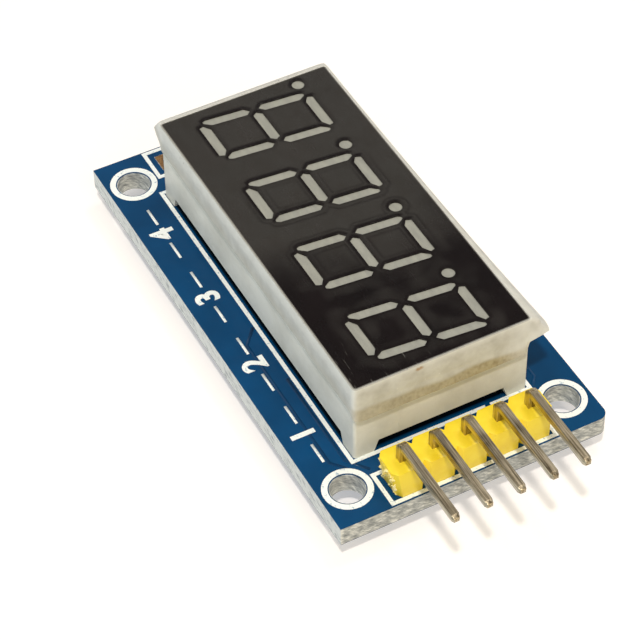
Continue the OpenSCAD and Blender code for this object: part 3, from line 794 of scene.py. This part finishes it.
    def lay(self, mesh, middle, half, look):
        """Rounds the sheet's corners, lifts it where air is under it, marks its painted sheen and painted shadow, its
        rim and its scuffed part.
        """
        points, faces = [], []
        for i in range(1, 5):
            data = NODES[f"digit_{i}_segments"].data
            top = max(v.co.z for v in data.vertices)
            start = len(points)
            points += [(v.co.x, v.co.y, 0) for v in data.vertices]
            for f in data.polygons:
                if f.normal.z > 0.9 and data.vertices[f.vertices[0]].co.z > top - 1e-6:
                    faces.append([start + n for n in f.vertices])
        tree = BVHTree.FromPolygons(points, faces)
        core = Vector((half.x - self.CORNER, half.y - self.CORNER))
        air, fold, crease, _, scuff = [mesh.verts.layers.float[n] for n in FILM_MARKS]
        for v in mesh.verts:
            d = v.co - middle
            far = Vector((max(0, abs(d.x) - core.x), max(0, abs(d.y) - core.y)))
            if far.x > 0 and far.y > 0:
                far *= max(far) / far.length
                v.co.x = middle.x + math.copysign(core.x + far.x, d.x)
                v.co.y = middle.y + math.copysign(core.y + far.y, d.y)
            spot = Vector((v.co.x, v.co.y, 0))
            nearest, _, _, gap = tree.find_nearest(spot)
            # Which side of its nearest segment a point lies on; the far side gets a painted shadow line
            beyond = (spot - nearest).normalized().dot(Vector((0.9, 0.44, 0))) if gap > 0 else 0
            gap, x, y = gap / MM, v.co.x / MM, v.co.y / MM
            wobble = noise.noise(Vector((x * 0.22, y * 0.22, 3.7)))
            # Painted sheen grows towards the far end of the face, as its reflection does
            away = ramp(x + 3.5 * wobble - 0.25 * abs(y), -9.0, -1.0)
            loose = 0.5 + 0.9 * noise.noise(Vector((x * 0.7, y * 0.7, 8.1)))
            band = ramp(gap, 0.1, 0.3) * (1 - ramp(gap, 0.3 + 0.5 * loose, 0.7 + 1.1 * loose))
            # Darker where the film touches next to a segment, and most on the far side, where it is a painted shadow
            touch_and_shadow = (1 - ramp(gap, 0.14, 0.38)) * (0.3 + 0.7 * ramp(beyond, -0.2, 0.5))
            lip = ramp(gap, 0.36, 0.46) * (1 - ramp(gap, 0.46, 0.66)) * (1 - ramp(x, 0, 9))
            # Lift stands the film up and also sets how much painted sheen it shows
            lift = away * (1 - touch_and_shadow) * (1 - 0.6 * lip) + (1 - away) * (0.08 + 0.3 * loose) * band
            v[air] = max(0.0, min(1.0, lift)) if gap > 0 else 0.3
            v.co.z += look.relief * v[air]
            rim = min(half.x - abs(d.x), half.y - abs(d.y)) / MM
            # The sheet's rim: folded and whitened, partly a painted highlight on its edge
            v[fold] = v[crease] = 0.3 * (1 - ramp(rim, 0.0, 0.1))
            v[scuff] = (1 - ramp(x, -14.0, -9.5)) * ramp(y, -3.0, 3.0)


class SEVENSEG_OT_header(bpy.types.Operator):
    """Models the header's body, with its torn end"""

    bl_idname = "sevenseg.header"
    bl_label = "Header body"

    # Depth of the end face and of the part that leans, measured in from the end
    END = 0.05 * MM
    LEANING = 0.9 * MM
    # Torn plate: its size, how far inside the end it lies, and how far below the middle
    PLATE = Vector((1.9, 0.3, 2.1)) * MM
    PLATE_IN = 0.25 * MM
    PLATE_DOWN = Vector((0, 0, 0.1)) * MM
    # Crumbs on it: their number, where they lie from its middle, and their radius, in mm
    CRUMBS = 60
    CRUMB_SPANS = ((-0.95, 0.95), (0.02, 0.27), (-1.1, 1.05))
    CRUMB_SIZE = (0.05, 0.13)

    def execute(self, context):
        look = context.scene.sevenseg_header
        low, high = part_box("header_body")
        strip = copy_of("header_body", "header_strip")
        # The strip broke a little short of its last notch, and further in towards its foot
        for v in strip.data.vertices:
            inside = high.y - v.co.y
            v.co.y -= look.broken_short * (inside < self.END)
            v.co.y -= look.undercut * (inside < self.LEANING) * (high.z - v.co.z) / (high.z - low.z)
        soften(strip, look.body_edge, 3)
        # Moulded polyester: full glossy yellow, warmer where it is thick, with fine moulding marks
        plastic = moulded("header polyester, moulded yellow", look.body, "#ECCD26", 0.33, step=1.6)
        seat(strip, plastic, "yellow_header", "header_body")
        self.tear(look, low, high)
        return {"FINISHED"}

    def tear(self, look, low, high):
        """The torn face of the strip: a rough plate with crumbs on it."""
        end = high.y - self.PLATE_IN - look.broken_short
        middle = Vector(((low.x + high.x) / 2, end, (low.z + high.z) / 2))
        bpy.ops.mesh.primitive_cube_add(size=1, location=middle - self.PLATE_DOWN, scale=self.PLATE)
        tear = settle(named("header_tear"))
        with editing(tear):
            bpy.ops.mesh.subdivide(number_cuts=20)
            crumbs = random.Random(7)
            for _ in range(self.CRUMBS):
                place = Vector([crumbs.uniform(*span) for span in self.CRUMB_SPANS]) * MM
                size = crumbs.uniform(*self.CRUMB_SIZE) * MM
                bpy.ops.mesh.primitive_ico_sphere_add(subdivisions=2, radius=size, location=middle + place)
            for v in bmesh.from_edit_mesh(tear.data).verts:
                if v.co.y > end:
                    jag = [noise.noise(v.co * k + Vector((0, 0, k))) for k in (2600, 6000, 14000)]
                    v.co.y += (0.22 * jag[0] + 0.14 * jag[1] + 0.09 * jag[2]) * MM
                    v.co.x += 0.10 * jag[1] * MM
                    v.co.z += 0.10 * jag[2] * MM
                v.co.y -= look.undercut * (high.z - v.co.z) / (high.z - low.z)
        # The same polyester where it was snapped: stretched white, rough and dull
        seat(tear, moulded("header polyester, torn", "#F8F0C4", "#EBD560", 0.9, step=0.2), "yellow_header")


class SEVENSEG_OT_pins(bpy.types.Operator):
    """Models the five bent header pins with broken edges"""

    bl_idname = "sevenseg.pins"
    bl_label = "Header pins"

    # From the pin's upright side back to its bend
    BEND_IN = 0.7 * MM

    def execute(self, context):
        look = context.scene.sevenseg_header
        # Plated brass gone brown: dull, with lines drawn along the wire, which turn upright at the bend
        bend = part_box("header_pin_1")[1].x - self.BEND_IN
        plated = metal("brass pin, tarnished plating", "#64563F", look.pin, 1.6, 0.3, (0.03, 1, 1), 0.1, bend)
        for i in range(1, 6):
            rounded(f"header_pin_{i}", f"pin_{i}", look.pin_edge, plated, "header_pin_metal", angle=20)
        return {"FINISHED"}


class SEVENSEG_OT_underside(bpy.types.Operator):
    """Finishes the drivers, the small parts and the joints below the board"""

    bl_idname = "sevenseg.underside"
    bl_label = "Underside"

    def execute(self, context):
        # Tin solder, set from the melt: bright, smooth, faintly grained
        solder = metal("tin solder, set", "#9A9B9B", "#D6D6D3", 0.4, 0.22, step=0.3)
        # Stamped leads, tinned: grey, duller than the solder
        leads = metal("lead frame, tinned", "#8F8F8C", "#C6C6C2", 0.6, 0.32)
        # Filled epoxy, transfer moulded: charcoal, matt and fine grained
        case = moulded("driver epoxy, moulded black", "#2B2C2E", "#222325", 0.6, step=0.8)
        # Glazed resistor coat: black, glossy; fired capacitor ceramic: tan, matt
        glaze = moulded("resistor glaze, black", "#1C1C1E", "#141416", 0.25, step=0.5)
        ceramic = moulded("capacitor ceramic, fired", "#B48C61", "#9E7850", 0.5, step=0.4)
        for kind in ("display_solder", "header_solder"):
            joints = copy_of(kind, kind + "_joints")
            smooth(joints, 60)
            seat(joints, solder, "solder", kind)
        # Node, piece, rounding of its edges in mm, material and slot
        pieces = [(kind, kind + "_caps", 0.05, solder, "solder") for kind in ("resistor_ends", "capacitor_ends")]
        for i in (1, 2):
            pieces += [
                (f"driver_{i}_case", f"driver_{i}_body", 0.1, case, "black_case"),
                (f"driver_{i}_leads", f"driver_{i}_legs", 0.03, leads, "tinned_wire"),
                (f"capacitor_{i}", f"capacitor_{i}_body", 0.05, ceramic, "capacitor_ceramic"),
            ]
        pieces += [(f"resistor_{i}", f"resistor_{i}_body", 0.04, glaze, "resistor_coat") for i in range(1, 9)]
        for node, name, edge, colour, slot in pieces:
            rounded(node, name, edge * MM, colour, slot)
        seat(self.fillets(), solder, "solder")
        return {"FINISHED"}

    def fillets(self):
        """Solder run up against each lead and each metal end: one hollow wedge, copied and sized to its place."""
        bpy.ops.mesh.primitive_cube_add(size=1, location=(0, 0.5, -0.5))
        first = settle(named("solder_fillets"))
        with editing(first):
            bpy.ops.mesh.subdivide(number_cuts=4)
            for v in bmesh.from_edit_mesh(first.data).verts:
                v.co.z *= max(0.08, (1 - v.co.y) ** 1.8)
                v.co.x *= 1 - 0.3 * v.co.y**2 - 0.12 * v.co.z**2
        smooth(first, 60)
        level = MASK_UNDER + 0.002 * MM
        return strewn(first, [((x * MM, y * MM, level), turn, Vector(size) * MM) for x, y, turn, size in FILLETS])


class SEVENSEG_OT_stage(bpy.types.Operator):
    """Sets up the camera, the floor, the lamps and the sky"""

    bl_idname = "sevenseg.stage"
    bl_label = "Stage"

    # Camera: its place, and its axes to the right, up and back
    PLACE = Vector((-112.65, 59.94, 133.38)) * MM
    AXES = Matrix(((-0.47014, -0.88252, -0.01100), (0.63846, -0.34868, 0.68615), (-0.60937, 0.31556, 0.72738)))
    # Name, direction towards the lamp, side in metres and colour; all stand at one distance
    LAMPS = (
        ("key", (-0.365, 0.231, 0.902), 0.035, "#FFF8EE"),
        ("fill", (0.10, 0.90, 0.42), 0.5, "#ECF4F5"),
        ("front", (-0.78, -0.05, 0.62), 0.3, "#FFF1D8"),
        ("side", (0.12, -0.33, 0.94), 0.12, "#FFF8EE"),
    )
    LAMP_FAR = 0.6
    # Gap between the part and the floor
    FLOOR_GAP = 0.01 * MM

    def execute(self, context):
        look = context.scene.sevenseg_stage
        scene = context.scene
        scene.view_settings.view_transform = "Standard"
        bpy.ops.object.camera_add()
        camera = named("camera")
        camera.data.sensor_width = 36
        camera.data.lens = look.lens
        camera.data.clip_start, camera.data.clip_end = 0.005, 20
        camera.matrix_world = Matrix.Translation(self.PLACE) @ self.AXES.transposed().to_4x4()
        scene.camera = camera
        for name, way, side, colour in self.LAMPS:
            bpy.ops.object.light_add(type="AREA", location=Vector(way).normalized() * self.LAMP_FAR)
            lamp = named(name + "_lamp")
            lamp.rotation_euler = (-Vector(way)).to_track_quat("-Z", "Y").to_euler()
            lamp.data.size = side
            lamp.data.energy = getattr(look, name)
            lamp.data.color = linear(colour)[:3]
        bpy.ops.mesh.primitive_plane_add(size=4, location=(0, 0, CAD_BOX[0].z - self.FLOOR_GAP))
        floor = named("floor")
        wear(floor, self.paper())
        self.sky(scene, look)
        return {"FINISHED"}

    def paper(self):
        """White floor: it shows to the camera from above, with the shadows on it, and lets other light by."""
        made = bpy.data.materials.new("floor, white paper")
        node = blank(made)
        matt = node("BsdfDiffuse", {"Color": linear("#D8D4D2")})
        glow = node("Emission", {"Color": linear("#FFFAF2"), "Strength": 0.42})
        both = node("AddShader", {0: matt, 1: glow})
        clear = node("BsdfTransparent")
        seen = node("LightPath", out="Is Camera Ray")
        under = node("NewGeometry", out="Backfacing")
        shown = node("Math", {0: seen, 1: under}, operation="SUBTRACT", use_clamp=True)
        mix = node("MixShader", {0: shown, 1: clear, 2: both})
        node("OutputMaterial", {"Surface": mix}, out=None)
        return made

    def sky(self, scene, look):
        """White to the camera, white low down and grey high up to gloss, and an even light to the rest."""
        scene.world = bpy.data.worlds.new("sky")
        node = blank(scene.world)
        way = node("TexCoord", out="Generated")
        x, y, z = node("SeparateXYZ", {0: way}, out=None).outputs
        gloss = node("MapRange", {"Value": z, "From Min": 0.45, "From Max": 0.72, "To Min": 1.0, "To Max": 0.28})
        rise = node("MapRange", {"Value": z, "From Min": -1})
        levels = ((0.47, look.bounce), (0.53, 0.12), (0.66, 0.15), (0.82, look.sky))
        even = node("ValToRGB", {"Fac": rise}, stops=[(place, [level] * 3) for place, level in levels])
        warm = node("MapRange", {"Value": x, "From Min": -0.1, "From Max": -0.8})
        cool = node("MapRange", {"Value": y, "From Min": 0.1, "From Max": 0.8})
        hue = node("Mix", {0: warm, 6: linear("#FFFFFF"), 7: linear("#FFF0D2")}, data_type="RGBA", out=2)
        hue = node("Mix", {0: cool, 6: hue, 7: linear("#EEF5F6")}, data_type="RGBA", out=2)
        path = node("LightPath", out=None).outputs
        level = node("Mix", {0: path["Is Glossy Ray"], 2: even, 3: gloss})
        clear = node("Math", {0: path["Is Camera Ray"], 1: path["Is Transmission Ray"]}, operation="MAXIMUM")
        level = node("Mix", {0: clear, 2: level, 3: 1.0})
        hue = node("Mix", {0: clear, 6: hue, 7: linear("#FFFFFF")}, data_type="RGBA", out=2)
        back = node("Background", {"Color": hue, "Strength": level})
        node("OutputWorld", {"Surface": back}, out=None)


# Tracks and numbers, in mm on the board's plane
UPPER_TRACKS = [
    [(-17.0, 7.2), (-15.4, 7.9), (-14.6, 8.6), (-2.0, 8.6), (-0.6, 7.4)],
    [(-16.4, 6.4), (-14.9, 7.55), (-6.2, 7.55)],
    [(-4.0, -7.5), (-1.5, -9.6), (14.5, -9.6)],
    [(-16.2, -6.6), (-14.4, -8.0), (-6.0, -8.0), (-5.2, -7.3)],
]
# Tracks below, for one quarter of the board: from a driver's leads to the display's joints, to a via or to a
# resistor, and from the pin row to the resistors
QUARTER_TRACKS = [
    [(2.155, 3.3), (2.155, 3.6), (1.27, 4.485), (1.27, 4.7)],
    [(3.425, 3.3), (3.425, 3.9), (3.81, 4.285), (3.81, 4.7)],
    [(4.695, 3.3), (4.695, 3.9), (5.08, 4.285), (5.08, 6.3)],
    [(5.965, 3.3), (5.965, 3.9), (6.35, 4.285), (6.35, 4.7)],
    [(7.235, 3.3), (7.235, 3.8), (7.62, 4.185), (7.62, 6.3)],
    [(8.505, 3.3), (8.505, 3.9), (8.89, 4.285), (8.89, 6.3)],
    [(9.775, 3.3), (9.775, 4.1), (10.5, 4.825), (13.8, 4.825)],
    [(11.045, 3.3), (11.3, 3.555), (13.3, 3.555), (13.6, 3.275), (13.8, 3.275)],
    [(17.7, 5.08), (16.2, 5.08), (15.945, 4.825), (14.6, 4.825)],
    [(17.7, 2.54), (16.3, 2.54), (15.885, 2.125), (14.6, 2.125)],
    [(13.8, 2.125), (12.9, 2.125), (12.35, 1.575), (12.35, 0.575), (14.0, 0.575)],
]
QUARTERS = [(a, b) for a in (-1, 1) for b in (-1, 1)]
UNDER_TRACKS = [[(a * x, b * y) for x, y in line] for line in QUARTER_TRACKS for a, b in QUARTERS]
VIAS = [(a * x, b * 6.5) for x in (5.08, 7.62, 8.89) for a, b in QUARTERS]
# Solder wedges: where each starts, its turn in degrees, and its width, run and rise, all in mm
FILLETS = [
    (a * (2.155 + 1.27 * i), b * 2.99, 90 - 90 * b, (0.46, 0.32, 0.17)) for i in range(8) for a, b in QUARTERS
]
FILLETS += [
    (a * 14.2, b * y + c * 0.79, 90 - 90 * c, (0.78, 0.33, 0.30))
    for y in (1.35, 4.05)
    for c in (-1, 1)
    for a, b in QUARTERS
]
FILLETS += [(a * 0.79, b * 1.3, -90 * a, (0.78, 0.33, 0.5)) for a, b in QUARTERS]
# Numbers and marks beside the digits
DIGITS_AT = (-11.4, -3.9, 3.7, 11.2)
DIGIT_ROW = 8.9
DIGIT_MARKS = [[(x + a, DIGIT_ROW), (x + b, DIGIT_ROW)] for x in DIGITS_AT for a, b in ((-2.9, -1.1), (1.1, 2.9))]
MARK_WIDTH = 0.2 * MM
# Height of a number as a share of its type size, and how far its strokes are thickened
NUMBER_SHARE = 0.69
NUMBER_BOLD = 0.08 * MM


class SEVENSEG_PT_panel(bpy.types.Panel):
    """Lists the steps and their settings."""

    bl_idname = "SEVENSEG_PT_panel"
    bl_label = "Seven segment display"
    bl_space_type = "VIEW_3D"
    bl_region_type = "UI"
    bl_category = "Display"

    def draw(self, context):
        for group in LOOKS:
            box = self.layout.box()
            box.label(text=group)
            looks = getattr(context.scene, "sevenseg_" + group)
            for prop in looks.bl_rna.properties:
                if prop.identifier not in ("rna_type", "name"):
                    box.prop(looks, prop.identifier)
        for step in STEPS:
            self.layout.operator(step.bl_idname)


LOOKS = {"board": BoardLooks, "display": DisplayLooks, "film": FilmLooks, "header": HeaderLooks, "stage": StageLooks}
STEPS = (
    SEVENSEG_OT_board,
    SEVENSEG_OT_housing,
    SEVENSEG_OT_face,
    SEVENSEG_OT_film,
    SEVENSEG_OT_header,
    SEVENSEG_OT_pins,
    SEVENSEG_OT_underside,
    SEVENSEG_OT_stage,
)


def register():
    for cls in (*LOOKS.values(), *STEPS, SEVENSEG_PT_panel):
        bpy.utils.register_class(cls)
    for name, cls in LOOKS.items():
        setattr(bpy.types.Scene, "sevenseg_" + name, bpy.props.PointerProperty(type=cls))


def unregister():
    for name in LOOKS:
        delattr(bpy.types.Scene, "sevenseg_" + name)
    for cls in reversed((*LOOKS.values(), *STEPS, SEVENSEG_PT_panel)):
        bpy.utils.unregister_class(cls)


def main():
    register()
    bpy.ops.sevenseg.board()
    bpy.ops.sevenseg.housing()
    bpy.ops.sevenseg.face()
    bpy.ops.sevenseg.film()
    bpy.ops.sevenseg.header()
    bpy.ops.sevenseg.pins()
    bpy.ops.sevenseg.underside()
    bpy.ops.sevenseg.stage()


if __name__ == "__main__":
    main()
